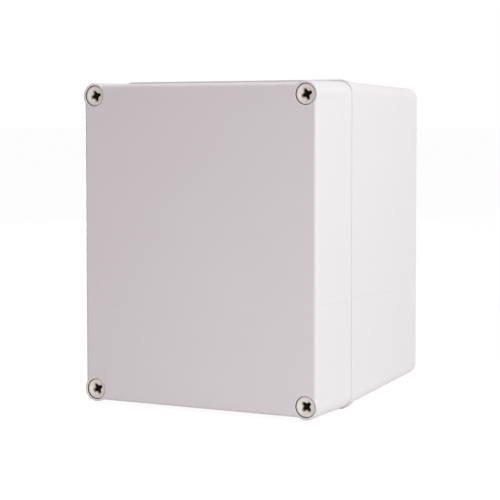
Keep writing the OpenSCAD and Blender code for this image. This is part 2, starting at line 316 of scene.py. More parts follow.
def pocket_outline(tube_r, inset, steps=8):
    """Pocket over the upper right wall fixing, which runs up to the screw's own tube."""
    low = FIX_Y - POCKET_W / 2 + inset
    high = FIX_Y + POCKET_W / 2 - inset
    left = POCKET_FROM + inset
    r = POCKET_TURN - inset
    tube = tube_r + inset
    first = 360 - math.degrees(math.asin((high - SCREW_Y) / tube)) - 180
    last = 180 + math.degrees(math.asin((SCREW_Y - low) / tube))
    return (
        arc(SCREW_X, SCREW_Y, tube, last, first, 2 * steps)
        + arc(left + r, high - r, r, 90, 180, steps)
        + arc(left + r, low + r, r, 180, 270, steps)
    )


def round_edge(r, steps=6):
    """Insets and rises of a rounding, from its upright end to its flat end."""
    turns = [math.radians(90 * i / steps) for i in range(steps + 1)]
    return [(r * (1 - math.cos(t)), r * math.sin(t)) for t in turns]


def round_floor(r, steps=6):
    """Insets and drops of a rounding below its upright end, from its flat end."""
    return round_edge(r, steps)[::-1]


# ---------------------------------------------------------------- solids


def solid(name, points, faces, edges=()):
    """Piece with a mesh of its own, linked to the scene."""
    mesh = bpy.data.meshes.new(name)
    mesh.from_pydata(points, edges, faces)
    mesh.update()
    piece = bpy.data.objects.new(name, mesh)
    bpy.context.scene.collection.objects.link(piece)
    return piece


def loft(name, rings, looped=False):
    """Closed skin over rings, each an outline and its level, from the lowest to the highest."""
    count = len(rings[0][0])
    points = [(x, y, z) for outline, z in rings for x, y in outline]
    pairs = [(i, i + 1) for i in range(len(rings) - 1)]
    if looped:
        pairs.append((len(rings) - 1, 0))
    faces = []
    for low, high in pairs:
        for i in range(count):
            j = (i + 1) % count
            faces.append((low * count + i, low * count + j, high * count + j, high * count + i))
    if not looped:
        faces.append(tuple(range(count))[::-1])
        faces.append(tuple(range(len(points) - count, len(points))))
    return solid(name, points, faces)


def turned(name, profile, at=(0, 0), steps=96):
    """Solid of revolution about an upright axis, from a profile of (radius, level) going up."""
    rings = [(arc(at[0], at[1], r, 0, 360, steps)[:-1], z) for r, z in profile]
    return loft(name, rings)


def settle(piece):
    """Leaves the piece with the mesh that its modifiers give."""
    graph = bpy.context.evaluated_depsgraph_get()
    mesh = bpy.data.meshes.new_from_object(piece.evaluated_get(graph))
    piece.modifiers.clear()
    old = piece.data
    piece.data = mesh
    bpy.data.meshes.remove(old)


def combine(piece, operation, others):
    """Adds the others to the piece, or cuts them from it, and removes them."""
    for other in others:
        step = piece.modifiers.new(operation, "BOOLEAN")
        step.operation = operation
        step.solver = "MANIFOLD"
        step.object = other
    settle(piece)
    for other in others:
        bpy.data.objects.remove(other)


def flip_to(piece, across, up):
    """Mirrors a piece drawn for the upper right corner into another one, still facing outwards."""
    piece.data.transform(Matrix.Diagonal((across, up, 1, 1)))
    if across * up < 0:
        piece.data.flip_normals()
    return piece


def in_each_corner(make):
    """Four copies of what make draws for the upper right corner."""
    return [flip_to(make(), across, up) for across, up, _ in CORNERS.values()]


def move_to(piece, corner, at, level=0.0):
    """Moves a piece drawn on the middle axis to its place in a corner, at the given level."""
    across, up, _ = CORNERS[corner]
    piece.data.transform(Matrix.Translation((across * at[0], up * at[1], level)))
    return piece


def upright(piece):
    """Stands a finished piece in the frame."""
    piece.data.transform(
        Matrix(
            (
                (MM, 0, 0, 0),
                (0, 0, -MM, cad_high.y),
                (0, MM, 0, MIDDLE_Z),
                (0, 0, 0, 1),
            )
        )
    )
    return piece


def smooth(piece, crease=28):
    """Smooth shading that keeps flat faces flat and breaks at edges sharper than crease degrees."""
    piece.data.shade_smooth()
    piece.data.set_sharp_from_angle(angle=math.radians(crease))
    weigh = piece.modifiers.new("weigh", "WEIGHTED_NORMAL")
    weigh.keep_sharp = True
    weigh.weight = 90
    settle(piece)


def finish_piece(piece, material, slot, body, *nodes):
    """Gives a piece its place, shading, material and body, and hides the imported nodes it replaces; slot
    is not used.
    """
    upright(piece)
    smooth(piece)
    piece.data.materials.clear()
    piece.data.materials.append(material)
    if nodes:
        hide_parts(*nodes)
    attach(piece, body)
    return piece


# ---------------------------------------------------------------- nodes


class Wire:
    """An output socket of a tree. Arithmetic on it adds Math nodes."""

    def __init__(self, tree, socket=None):
        self.tree = tree
        self.socket = socket

    def node(self, kind, settings=None, sockets=None, out=0):
        """Adds a node, with its settings made first, and returns one of its outputs."""
        made = self.tree.nodes.new(kind)
        for name, value in (settings or {}).items():
            setattr(made, name, value)
        for name, value in (sockets or {}).items():
            socket = pick(made.inputs, name)
            if isinstance(value, Wire):
                self.tree.links.new(value.socket, socket)
            else:
                socket.default_value = value
        return Wire(self.tree, pick(made.outputs, out))

    def split(self, vector):
        """A vector's three numbers."""
        made = self.node("ShaderNodeSeparateXYZ", None, {"Vector": vector}, "X").socket.node
        return [Wire(self.tree, made.outputs[axis]) for axis in "XYZ"]

    def stretched(self, place, scale):
        """Coordinates scaled along each axis."""
        sockets = {0: place, 1: scale}
        return self.node("ShaderNodeVectorMath", {"operation": "MULTIPLY"}, sockets, "Vector")

    def joined(self, parts):
        """One geometry from several."""
        made = self.tree.nodes.new("GeometryNodeJoinGeometry")
        for part in parts:
            self.tree.links.new(part.socket, made.inputs[0])
        return Wire(self.tree, made.outputs[0])

    def maths(self, operation, first, second=None):
        """A sum of one or two values."""
        sockets = {0: first} if second is None else {0: first, 1: second}
        return self.node("ShaderNodeMath", {"operation": operation}, sockets)

    def __add__(self, other):
        return self.maths("ADD", self, other)

    def __sub__(self, other):
        return self.maths("SUBTRACT", self, other)

    def __rsub__(self, other):
        return self.maths("SUBTRACT", other, self)

    def __mul__(self, other):
        return self.maths("MULTIPLY", self, other)

    __radd__ = __add__


def pick(sockets, key):
    """The socket with that number, name or identifier."""
    if isinstance(key, int):
        return sockets[key]
    return next(s for s in sockets if key in (s.identifier, s.name))


def grow(piece, material, build):
    """Gives a piece the mesh of a tree of geometry nodes, which build draws from its own mesh."""
    tree = bpy.data.node_groups.new(piece.name, "GeometryNodeTree")
    tree.interface.new_socket("Geometry", in_out="INPUT", socket_type="NodeSocketGeometry")
    tree.interface.new_socket("Material", in_out="INPUT", socket_type="NodeSocketMaterial")
    tree.interface.new_socket("Geometry", in_out="OUTPUT", socket_type="NodeSocketGeometry")
    wire = Wire(tree)
    given = tree.nodes.new("NodeGroupInput").outputs
    made = build(wire, Wire(tree, given["Geometry"]))
    made = wire.node("GeometryNodeRealizeInstances", None, {"Geometry": made})
    made = wire.node(
        "GeometryNodeSetMaterial", None, {"Geometry": made, "Material": Wire(tree, given["Material"])}
    )
    last = tree.nodes.new("NodeGroupOutput")
    tree.links.new(made.socket, last.inputs[0])
    step = piece.modifiers.new("grow", "NODES")
    step.node_group = tree
    for item in tree.interface.items_tree:
        if item.name == "Material":
            step[item.identifier] = material
    settle(piece)
    return piece


def swept(wire, path, width, height, r):
    """Rounded bar of the given section along a path, closed at its ends."""
    section = wire.node(
        "GeometryNodeCurvePrimitiveQuadrilateral", None, {"Width": width, "Height": height}
    )
    section = wire.node(
        "GeometryNodeFilletCurve", {"mode": "POLY"}, {"Curve": section, "Count": 4, "Radius": r}
    )
    path = wire.node("GeometryNodeSetCurveNormal", {"mode": "Z_UP"}, {"Curve": path})
    return wire.node(
        "GeometryNodeCurveToMesh", None, {"Curve": path, "Profile Curve": section, "Fill Caps": True}
    )


# ---------------------------------------------------------------- base


def base_outside():
    """Tub with leaning walls, a rounded rear and a rim that stands out round its mouth."""
    rim_low = SEAM - RIM_D

    def wall(z, inset=0):
        lean = BASE_LEAN * (1 - max(z - REAR_ROUND, 0) / (rim_low - REAR_ROUND))
        out = RIM_STEP + lean + inset
        return rounded(RIM_X - out, RIM_Y - out, BASE_CORNER - inset), z

    rings = []
    for inset, drop in round_floor(REAR_ROUND, 9):
        outline, _ = wall(REAR_ROUND, inset)
        rings.append((outline, REAR_ROUND - drop))
    foot = rim_low + RIM_ROUND - RIM_FOOT
    rings.append(wall(foot - RIM_FOOT))
    steps = 5
    for i in range(1, steps):
        t = math.radians(90 * i / steps)
        out = RIM_STEP - RIM_FOOT * (1 - math.cos(t))
        r = BASE_CORNER + (RIM_CORNER - BASE_CORNER) * (RIM_STEP - out) / RIM_STEP
        rings.append((rounded(RIM_X - out, RIM_Y - out, r), foot - RIM_FOOT * (1 - math.sin(t))))

    def rim(z, inset):
        return rounded(RIM_X - inset, RIM_Y - inset, RIM_CORNER - inset), z

    rings += [rim(foot + RIM_ROUND - drop, inset) for inset, drop in round_floor(RIM_ROUND, 5)]
    rings += [rim(SEAM - RIM_EASE + rise, inset) for inset, rise in round_edge(RIM_EASE, 4)]
    return loft("base", rings)


def base_core():
    """Space inside the base, which narrows towards a rounded floor."""
    rings = []
    span = SEAM - FLOOR_T
    for inset, drop in round_floor(FLOOR_ROUND):
        z = FLOOR_T + FLOOR_ROUND - drop
        lean = CORE_LEAN * (SEAM - z) / span
        rings.append((leaning_seal(CORE_OFF - inset, lean, lean), z))
    rings.append((seal_outline(CORE_OFF), SEAM - MOUTH_EASE))
    rings.append((seal_outline(CORE_OFF + MOUTH_EASE / 4), SEAM - MOUTH_EASE / 4))
    rings.append((seal_outline(CORE_OFF + MOUTH_EASE), SEAM))
    rings.append((seal_outline(CORE_OFF + MOUTH_EASE), SEAM + PAST))
    return loft("base_core", rings)


def groove():
    """Channel for the gasket, with its upper edges eased."""
    half = GROOVE_W / 2
    wide = half + GROOVE_EASE
    outer = [(half, SEAM - GROOVE_D), (half, SEAM - GROOVE_EASE), (wide, SEAM), (wide, SEAM + PAST)]
    rings = [(seal_outline(grow), z) for grow, z in outer]
    rings += [(seal_outline(-grow), z) for grow, z in outer[::-1]]
    return loft("groove", rings, looped=True)


def base_pocket():
    """Pocket over a wall fixing, with a rounded floor."""
    rings = [
        (pocket_outline(POST_R, inset), POCKET_FLOOR + POCKET_ROUND - drop)
        for inset, drop in round_floor(POCKET_ROUND, 4)
    ]
    rings.append((pocket_outline(POST_R, 0), SEAM - BASE_POCKET_EASE))
    rings.append((pocket_outline(POST_R, -BASE_POCKET_EASE), SEAM))
    rings.append((pocket_outline(POST_R, -BASE_POCKET_EASE), SEAM + PAST))
    return loft("pocket", rings)


def fixing_hole():
    """Hole for a wall screw, eased at both ends."""
    r = FIX_D / 2
    wide = r + FIX_EASE
    profile = [
        (wide, -PAST),
        (wide, 0),
        (r, FIX_EASE),
        (r, POCKET_FLOOR - FIX_EASE),
        (wide, POCKET_FLOOR),
        (wide, POCKET_FLOOR + PAST),
    ]
    return turned("fixing", profile, (FIX_X, FIX_Y))


def thread_hole():
    """Hole that takes a screw's thread, with a drilled end."""
    r = THREAD_HOLE_R
    wide = r + THREAD_HOLE_EASE
    low = SCREW_TIP - PAST
    profile = [(DRILL_TIP_R, low - DRILL_TIP_H), (r, low), (r, SEAM - THREAD_HOLE_EASE)]
    profile += [(wide, SEAM), (wide, SEAM + PAST)]
    return turned("thread_hole", profile, SCREW_AT)


def boss():
    """Boss for an insert, which swells a little where it meets the floor."""
    profile = [(BOSS_R + BOSS_ROOT, FLOOR_T - PAST), (BOSS_R + BOSS_FOOT, FLOOR_T)]
    for inset, drop in round_floor(BOSS_FOOT, 4)[1:]:
        profile.append((BOSS_R + inset, FLOOR_T + BOSS_FOOT - drop))
    for inset, rise in round_edge(BOSS_EASE, 3):
        profile.append((BOSS_R - inset, BOSS_TOP - BOSS_EASE + rise))
    return turned("boss", profile, PLATE_AT)


def insert_hole():
    """Hole that holds an insert."""
    profile = [(INSERT_R, INSERT_LOW - PAST), (INSERT_R, BOSS_TOP + PAST)]
    return turned("insert_hole", profile, PLATE_AT)


def gusset(turned_up):
    """Two low webs on opposite sides of a boss, as one bar with sloping ends."""
    half = GUSSET_T / 2
    long_r = BOSS_R + GUSSET_REACH
    levels = [
        (long_r, FLOOR_T - PAST),
        (long_r, FLOOR_T),
        (BOSS_R - GUSSET_SUNK, FLOOR_T + GUSSET_H),
    ]
    rings = []
    for reach, z in levels:
        outline = [(-reach, -half), (reach, -half), (reach, half), (-reach, half)]
        if turned_up:
            outline = [(-y, x) for x, y in outline]
        rings.append(([(PLATE_X + x, PLATE_Y + y) for x, y in outline], z))
    return loft("gusset", rings)


def make_base(material):
    """The base: an outside, an inside, bosses with their webs, and the cuts in its rim and floor."""
    base = base_outside()
    combine(base, "DIFFERENCE", [base_core()])
    webs = []
    for across, up, _ in CORNERS.values():
        webs += [flip_to(gusset(turned_up), across, up) for turned_up in (False, True)]
    combine(base, "UNION", in_each_corner(boss) + webs)
    cuts = [groove()]
    for make in (base_pocket, fixing_hole, thread_hole, insert_hole):
        cuts += in_each_corner(make)
    combine(base, "DIFFERENCE", cuts)
    return finish_piece(base, material, "shell", "base", "base")


# ---------------------------------------------------------------- lid


def lid_outside():
    """Leaning walls that turn over into the face, with a pillar standing proud at each corner."""
    low = SEAM + EDGE_GAP
    turn_z = BOX_D - FACE_ROUND
    crest_z = BOX_D - PILLAR_ROUND

    def ring(z, inset=0):
        lean = max(z - low - EDGE_LAND, 0) / (turn_z - low - EDGE_LAND)
        turned_in = inset
        if z > turn_z:
            lean = 1
            turned_in += FACE_ROUND - math.sqrt(max(FACE_ROUND**2 - (z - turn_z) ** 2, 0))
        x = EDGE_X - LID_LEAN_X * lean - turned_in
        y = EDGE_Y - LID_LEAN_Y * lean - turned_in
        return pillared(x, y, pillar_at(z, inset)), z

    def pillar_at(z, inset):
        """A pillar leaves the lid's rounded corner and comes to stand round its screw."""
        up = min((z - low) / (crest_z - low), 1)
        r = EDGE_CORNER + PILLAR_PROUD
        r += (PILLAR_R - r) * up - inset
        if z > crest_z:
            r += math.sqrt(max(PILLAR_ROUND**2 - (z - crest_z) ** 2, 0)) - PILLAR_ROUND
        pillar_x = SCREW_X + (EDGE_X - EDGE_CORNER - SCREW_X) * (1 - up)
        pillar_y = SCREW_Y + (EDGE_Y - EDGE_CORNER - SCREW_Y) * (1 - up)
        return pillar_x, pillar_y, r

    rings = [ring(low + EDGE_ROUND - drop, inset) for inset, drop in round_floor(EDGE_ROUND, 4)]
    levels = {low + EDGE_LAND}
    levels |= {low + EDGE_LAND + (turn_z - low - EDGE_LAND) * i / 6 for i in range(1, 6)}
    levels |= {turn_z + rise for _, rise in round_edge(FACE_ROUND, 14)}
    levels |= {crest_z + rise for _, rise in round_edge(PILLAR_ROUND, 8)}
    kept = []
    for z in sorted(levels):
        if not kept or z - kept[-1] > 1e-4:
            kept.append(z)
    return loft("lid", rings + [ring(z) for z in kept])


def tongue():
    """Plug whose rim presses on the gasket; the hollow is cut through it later."""
    half = TONGUE_T / 2
    rings = [(seal_outline(half - TONGUE_EASE), TONGUE_LOW)]
    rings.append((seal_outline(half), TONGUE_LOW + TONGUE_EASE))
    rings.append((seal_outline(half), SEAM + EDGE_GAP + PAST))
    return loft("tongue", rings)


def lid_hollow():
    """Space inside the lid, from below the tongue to a rounded ceiling."""
    start = SEAM + EDGE_GAP
    top = BOX_D - LID_FACE
    rings = [
        (seal_outline(HOLLOW_OFF + TONGUE_EASE), TONGUE_LOW - PAST),
        (seal_outline(HOLLOW_OFF + TONGUE_EASE), TONGUE_LOW),
        (seal_outline(HOLLOW_OFF), TONGUE_LOW + TONGUE_EASE),
        (seal_outline(HOLLOW_OFF), start),
    ]
    for inset, rise in round_edge(CEILING_ROUND, 5):
        z = top - CEILING_ROUND + rise
        lean = (z - start) / (top - start)
        rings.append((leaning_seal(HOLLOW_OFF - inset, LID_LEAN_X * lean, LID_LEAN_Y * lean), z))
    return loft("lid_hollow", rings)


def lid_pocket():
    """Pocket that goes on from the base's, with a rounded ceiling."""
    tube_r = ROOM_R + PILLAR_WALL
    low = SEAM + EDGE_GAP
    top = BOX_D - LID_FACE
    rings = [
        (pocket_outline(tube_r, -LID_POCKET_EASE), low - PAST),
        (pocket_outline(tube_r, -LID_POCKET_EASE), low),
        (pocket_outline(tube_r, 0), low + LID_POCKET_EASE),
    ]
    for inset, rise in round_edge(POCKET_ROUND, 4):
        rings.append((pocket_outline(tube_r, inset), top - POCKET_ROUND + rise))
    return loft("lid_pocket", rings)


def seat():
    """Round seat under each pillar, which meets the base's post."""
    r = ROOM_R + PILLAR_WALL / 2
    profile = [(r - SEAT_EASE, SEAM), (r, SEAM + SEAT_EASE), (r, SEAM + EDGE_GAP + PAST)]
    return turned("seat", profile, SCREW_AT)


def well():
    """Well for a screw's head, with a softly rounded mouth."""
    profile = [(WELL_R - WELL_EASE, WELL_FLOOR), (WELL_R, WELL_FLOOR + WELL_EASE)]
    profile += [(WELL_R + inset, BOX_D - WELL_LIP + rise) for inset, rise in round_edge(WELL_LIP, 5)]
    profile.append((WELL_R + WELL_LIP, BOX_D + PAST))
    return turned("well", profile, SCREW_AT, 128)


def guide():
    """Bore that guides the thread, over the room where the keeper travels."""
    profile = [
        (ROOM_R + ROOM_EASE, SEAM - PAST),
        (ROOM_R + ROOM_EASE, SEAM),
        (ROOM_R, SEAM + ROOM_EASE),
        (ROOM_R, ROOM_TOP - GUIDE_EASE),
        (ROOM_R - GUIDE_EASE, ROOM_TOP),
        (GUIDE_R, ROOM_TOP + HAIR),
        (GUIDE_R, WELL_FLOOR - GUIDE_EASE),
        (GUIDE_R + GUIDE_EASE, WELL_FLOOR),
        (GUIDE_R + GUIDE_EASE, WELL_FLOOR + PAST),
    ]
    return turned("guide", profile, SCREW_AT)


def make_lid(material):
    """The lid: an outside with its tongue, then its hollow and pockets, and the screws' bores."""
    lid = lid_outside()
    combine(lid, "UNION", [tongue()])
    combine(lid, "DIFFERENCE", [lid_hollow()] + in_each_corner(lid_pocket))
    combine(lid, "UNION", in_each_corner(seat))
    combine(lid, "DIFFERENCE", in_each_corner(well) + in_each_corner(guide))
    return finish_piece(lid, material, "shell", "lid", "lid")


# ---------------------------------------------------------------- screws


def cross(half_width, reach, turn, steps, bluntness=5):
    """Outline of the cross recess: four blunt arms, with a rounded lobe between each two."""
    points = []
    for i in range(steps):
        t = 2 * math.pi * i / steps
        lobe = abs(math.sin(2 * (t - math.radians(turn)))) / (2 * half_width)
        r = (reach**-bluntness + lobe**bluntness) ** (-1 / bluntness)
        points.append((r * math.cos(t), r * math.sin(t)))
    return points


def screw_body(name, turn, steps=160):
    """One skin from the bottom of the cross recess over the head and down to the end of the shank."""
    # The recess, from its mouth down: half width of an arm, its reach, and how deep.
    recess = [
        (0.3, 0.7, 3.4),
        (0.65, 1.6, 3.3),
        (0.8, 2.5, 2.8),
        (0.9, 3.0, 2.1),
        (1.0, 3.35, 1.5),
        (1.15, 3.6, 1.05),
        (1.3, 3.75, 0.8),
        (1.5, 3.85, 0.62),
        (1.85, 3.92, 0.53),
        (2.6, 4.0, 0.48),
    ]
    # The shallow dish round it: radius, and how deep.
    dish = [(4.1, 0.42), (4.25, 0.2), (4.4, 0.06), (4.6, 0)]

    def circle(r, z):
        return arc(0, 0, r, 0, 360, steps)[:-1], z

    top = HEAD_TOP
    low = top - HEAD_H
    rings = [(cross(half, reach, turn, steps), top - depth) for half, reach, depth in recess]
    rings += [circle(r, top - depth) for r, depth in dish]
    for inset, rise in round_edge(HEAD_ROUND)[::-1]:
        rings.append(circle(HEAD_R - inset, top - (HEAD_ROUND - rise)))
    rings += [circle(HEAD_R, low + HEAD_EASE), circle(HEAD_R - HEAD_EASE, low)]
    rings += [circle(SHANK_R, low - HAIR), circle(SHANK_R, SCREW_TIP + TIP_H)]
    rings.append(circle(SHANK_R - TIP_TAPER, SCREW_TIP))
    return loft(name, rings[::-1])


def make_screws(material):
    """Each screw, left turned to an angle of its own."""
    for corner, (_, _, turn) in CORNERS.items():
        screw = move_to(screw_body(f"screw_{corner}", turn), corner, SCREW_AT)
        finish_piece(screw, material, "screw", f"screw_{corner}", f"lid_screw_{corner}")


# ---------------------------------------------------------------- small pieces


def thread(corner, material):
    """Coarse helical ridge round the shank, from just under the keeper to the tip."""
    long = THREAD_TOP - SCREW_TIP - THREAD_PITCH / 2

    def build(wire, given):
        sockets = {
            "Resolution": 40,
            "Rotations": long / THREAD_PITCH,
            "Start Radius": THREAD_MIDDLE_R,
            "End Radius": THREAD_MIDDLE_R,
            "Height": long,
            "Reverse": False,
        }
        helix = wire.node("GeometryNodeCurveSpiral", None, sockets)
        return swept(wire, helix, 2 * (THREAD_R - THREAD_MIDDLE_R), THREAD_W, THREAD_ROUND)

    piece = grow(solid(f"thread_{corner}", [(0, 0, 0)], []), material, build)
    return move_to(piece, corner, SCREW_AT, THREAD_START)


def keeper(corner, material):
    """Split ring that holds a screw in the lid."""
    half = math.asin(KEEPER_SPLIT / 2 / KEEPER_BORE_R)

    def build(wire, given):
        sockets = {
            "Resolution": 72,
            "Radius": (KEEPER_BORE_R + KEEPER_R) / 2,
            "Start Angle": half,
            "Sweep Angle": 2 * math.pi - 2 * half,
        }
        path = wire.node("GeometryNodeCurveArc", None, sockets)
        return swept(wire, path, KEEPER_R - KEEPER_BORE_R, KEEPER_HIGH - KEEPER_LOW, KEEPER_ROUND)

    piece = grow(solid(f"keeper_{corner}", [(0, 0, 0)], []), material, build)
    return move_to(piece, corner, SCREW_AT, (KEEPER_LOW + KEEPER_HIGH) / 2)


def gasket(material):
    """Rubber cord along the seal line, at its pressed height."""
    middle = (GASKET_LOW + GASKET_HIGH) / 2
    points = [(x, y, middle) for x, y in seal_outline(0, 16)]
    edges = [(i, (i + 1) % len(points)) for i in range(len(points))]

    def build(wire, given):
        path = wire.node("GeometryNodeMeshToCurve", None, {"Mesh": given})
        return swept(wire, path, GROOVE_W - GASKET_GAP, GASKET_HIGH - GASKET_LOW, GASKET_ROUND)

    return grow(solid("gasket", points, [], edges), material, build)


def insert_body(name):
    """Threaded bush with a waist between its knurled bands."""
    low, high = INSERT_LOW, BOSS_TOP
    half = (low + high) / 2
    r = INSERT_R - INSERT_GAP
    waist = INSERT_R - WAIST_D
    waist_half = WAIST_H / 2
    outside = [
        (r - INSERT_EASE, low),
        (r, low + INSERT_EASE),
        (r, half - waist_half - WAIST_SLOPE),
        (waist, half - waist_half),
        (waist, half + waist_half),
        (r, half + waist_half + WAIST_SLOPE),
        (r, high - INSERT_TOP_EASE),
        (r - INSERT_TOP_EASE, high),
    ]
    bore = INSERT_BORE_R
    inside = [(bore + INSERT_EASE, high), (bore, high - INSERT_EASE)]
    long = high - low - 2 * INSERT_THREAD_END
    for i in range(INSERT_TURNS):
        level = high - INSERT_THREAD_END - long * (i + 0.5) / INSERT_TURNS
        inside += [(bore + INSERT_THREAD_D, level), (bore, level - INSERT_THREAD_RISE)]
    inside += [(bore, low + INSERT_EASE), (bore + INSERT_TOP_EASE, low)]
    rings = [(arc(0, 0, r, 0, 360, 48)[:-1], z) for r, z in outside + inside]
    return loft(name, rings, looped=True)


def insert(corner, material):
    """Brass insert, with a ring of knurls round each of its two bands."""
    low, high = INSERT_LOW, BOSS_TOP
    band = (high - low) / 2 - BAND_LESS

    def build(wire, given):
        tooth = wire.node("GeometryNodeMeshCube", None, {"Size": (KNURL_W, KNURL_W, band)})
        sockets = {"Vertices": KNURLS, "Radius": INSERT_R - KNURL_MIDDLE}
        circle = wire.node("GeometryNodeMeshCircle", None, sockets)
        turn = wire.node("GeometryNodeInputIndex") * (2 * math.pi / KNURLS) + math.pi / 4
        spin = wire.node("ShaderNodeCombineXYZ", None, {"Z": turn})
        sockets = {"Points": circle, "Instance": tooth, "Rotation": spin}
        teeth = wire.node("GeometryNodeInstanceOnPoints", None, sockets)
        bands = [given]
        for level in (low + KNURL_LOW + band / 2, high - KNURL_HIGH - band / 2):
            sockets = {"Geometry": teeth, "Translation": (0, 0, level)}
            bands.append(wire.node("GeometryNodeTransform", None, sockets))
        return wire.joined(bands)

    return move_to(grow(insert_body(f"insert_{corner}"), material, build), corner, PLATE_AT)


def make_small_pieces(screw, rubber, acetal, brass):
    """The gasket, and for each corner the screw's thread, its keeper and an insert."""
    finish_piece(gasket(rubber), rubber, "seal", "base", "gasket")
    for corner in CORNERS:
        finish_piece(thread(corner, screw), screw, "screw", f"screw_{corner}")
        ring = keeper(corner, acetal)
        finish_piece(ring, acetal, "keeper", f"keeper_{corner}", f"screw_keeper_{corner}")
        finish_piece(insert(corner, brass), brass, "insert", "base", f"plate_insert_{corner}")


# ---------------------------------------------------------------- materials


def srgb(red, green, blue):
    """Colour with its values from 0 to 255, as the shader takes it."""

    def linear(value):
        value /= 255
        return value / 12.92 if value <= 0.04045 else ((value + 0.055) / 1.055) ** 2.4

    return linear(red), linear(green), linear(blue), 1.0


def new_material(name):
    """An empty material, and a wire to draw its nodes with."""
    material = bpy.data.materials.new(name)
    material.use_nodes = True
    tree = material.node_tree
    tree.nodes.clear()
    return material, Wire(tree)


def object_place(wire):
    """Coordinates that stay with the piece."""
    return wire.node("ShaderNodeTexCoord", None, None, "Object")


def blend(wire, factor, first, second):
    """Mix of two colours."""
    sockets = {"Factor_Float": factor, "A_Color": first, "B_Color": second}
    return wire.node("ShaderNodeMix", {"data_type": "RGBA"}, sockets, "Result_Color")


def ramp(wire, value, low, high):
    """0 below low and 1 above high, with a soft step between."""
    settings = {"interpolation_type": "SMOOTHSTEP"}
    sockets = {"Value": value, "From Min": low, "From Max": high}
    return wire.node("ShaderNodeMapRange", settings, sockets, "Result")


def noise(wire, place, scale, detail=2.0):
    """Soft random values from 0 to 1."""
    sockets = {"Vector": place, "Scale": scale, "Detail": detail}
    return wire.node("ShaderNodeTexNoise", None, sockets, "Fac")


def cells(wire, place, scale, out="Distance"):
    """Random cells: the distance from the middle of each, or another output."""
    return wire.node("ShaderNodeTexVoronoi", None, {"Vector": place, "Scale": scale}, out)


def output(wire, shader, kind="ShaderNodeOutputMaterial"):
    """Ends a tree with a shader."""
    made = wire.tree.nodes.new(kind)
    wire.tree.links.new(shader.socket, made.inputs["Surface"])


def surface(wire, sockets, height, strength, distance):
    """Ends a tree with a surface of those settings, which the height roughens."""
    bumps = {"Strength": strength, "Distance": distance, "Height": height}
    sockets["Normal"] = wire.node("ShaderNodeBump", None, bumps)
    output(wire, wire.node("ShaderNodeBsdfPrincipled", None, sockets))


def moulded_shell():
    """Satin light grey moulding, with faint flow marks, a fine skin and few specks, a painted reflection
    drawn as a faint line across its right side, and painted shade in the gap round each screw's head.
    """
    material, wire = new_material("moulded_shell")
    place = object_place(wire)
    cloud = noise(wire, place, 18.0, 3.0)
    grain = noise(wire, place, 900.0)
    fine = noise(wire, place, 4200.0)
    colour = blend(wire, cloud, srgb(233, 229, 230), srgb(236, 232, 233))
    # Painted reflection: a faint darker line across the right side.
    colour = blend(wire, painted_reflection_line(wire, place) * 0.5, colour, srgb(226, 222, 224))
    colour = blend(wire, specks(wire, place) * 0.6, colour, srgb(150, 138, 130))
    # Painted shade: dark brown in the gap round each screw's head.
    colour = blend(wire, painted_gap_shade(wire, place), colour, srgb(34, 18, 9))
    sockets = {
        "Base Color": colour,
        "Roughness": 0.36 + cloud * 0.1,
        "IOR": 1.5,
        "Specular IOR Level": 0.3,
    }
    surface(wire, sockets, fine * 0.5 + grain * 0.5, 0.06, 0.0002)
    return material


# A painted reflection on each moulding: a faint darker line across its right side, standing for a line
# reflected from the surroundings. Its level at the moulding's front edge, and how steeply it falls.
LID_REFLECTION = 69.4
LID_REFLECTION_FALL = 0.07
BASE_REFLECTION = 69.0
BASE_REFLECTION_FALL = 0.064
REFLECTION_FROM = 77.2  # how far out from the middle it starts to show
REFLECTION_FULL = 77.8


def painted_reflection_line(wire, place):
    """Mask of the painted reflection: a faint line across one side, reflected from the surroundings."""
    across, along, up = wire.split(place)
    front = cad_low.y
    seam = cad_high.y - SEAM * MM
    lid_level = LID_REFLECTION * MM - (along - front) * LID_REFLECTION_FALL
    base_level = BASE_REFLECTION * MM - (along - seam) * BASE_REFLECTION_FALL
    in_base = wire.maths("GREATER_THAN", along, seam)
    level = lid_level + (base_level - lid_level) * in_base
    off = wire.maths("ABSOLUTE", up - level)
    on_line = 1 - ramp(wire, off, 0.1 * MM, 0.55 * MM)
    return on_line * ramp(wire, across, REFLECTION_FROM * MM, REFLECTION_FULL * MM)


def specks(wire, place):
    """Mask of a few tiny specks in the plastic."""
    away = cells(wire, place, 90.0)
    chance = cells(wire, place, 90.0, "Color")
    rare = wire.maths("GREATER_THAN", wire.split(chance)[0], 0.94)
    return (1 - ramp(wire, away, 0.015, 0.035)) * rare


def from_screws(wire, place):
    """Place along the screws' axes, and distance from the nearest of them."""
    x, y, z = wire.split(place)
    across = wire.maths("ABSOLUTE", x) - SCREW_X * MM
    up = wire.maths("ABSOLUTE", z - MIDDLE_Z) - SCREW_Y * MM
    return y, wire.maths("SQRT", across * across + up * up)


def painted_gap_shade(wire, place):
    """Mask of painted shade, in a dusty dark brown, in the narrow gap round each screw's head, inside its
    well.
    """
    y, away = from_screws(wire, place)
    near = 1 - ramp(wire, away, (WELL_R + 0.02) * MM, (WELL_R + 0.25) * MM)
    deep = ramp(wire, y, cad_low.y + 0.3 * MM, cad_low.y + 0.7 * MM)
    above = 1 - ramp(wire, y, cad_low.y + (HEAD_H + 3) * MM, cad_low.y + (HEAD_H + 4) * MM)
    return near * deep * above


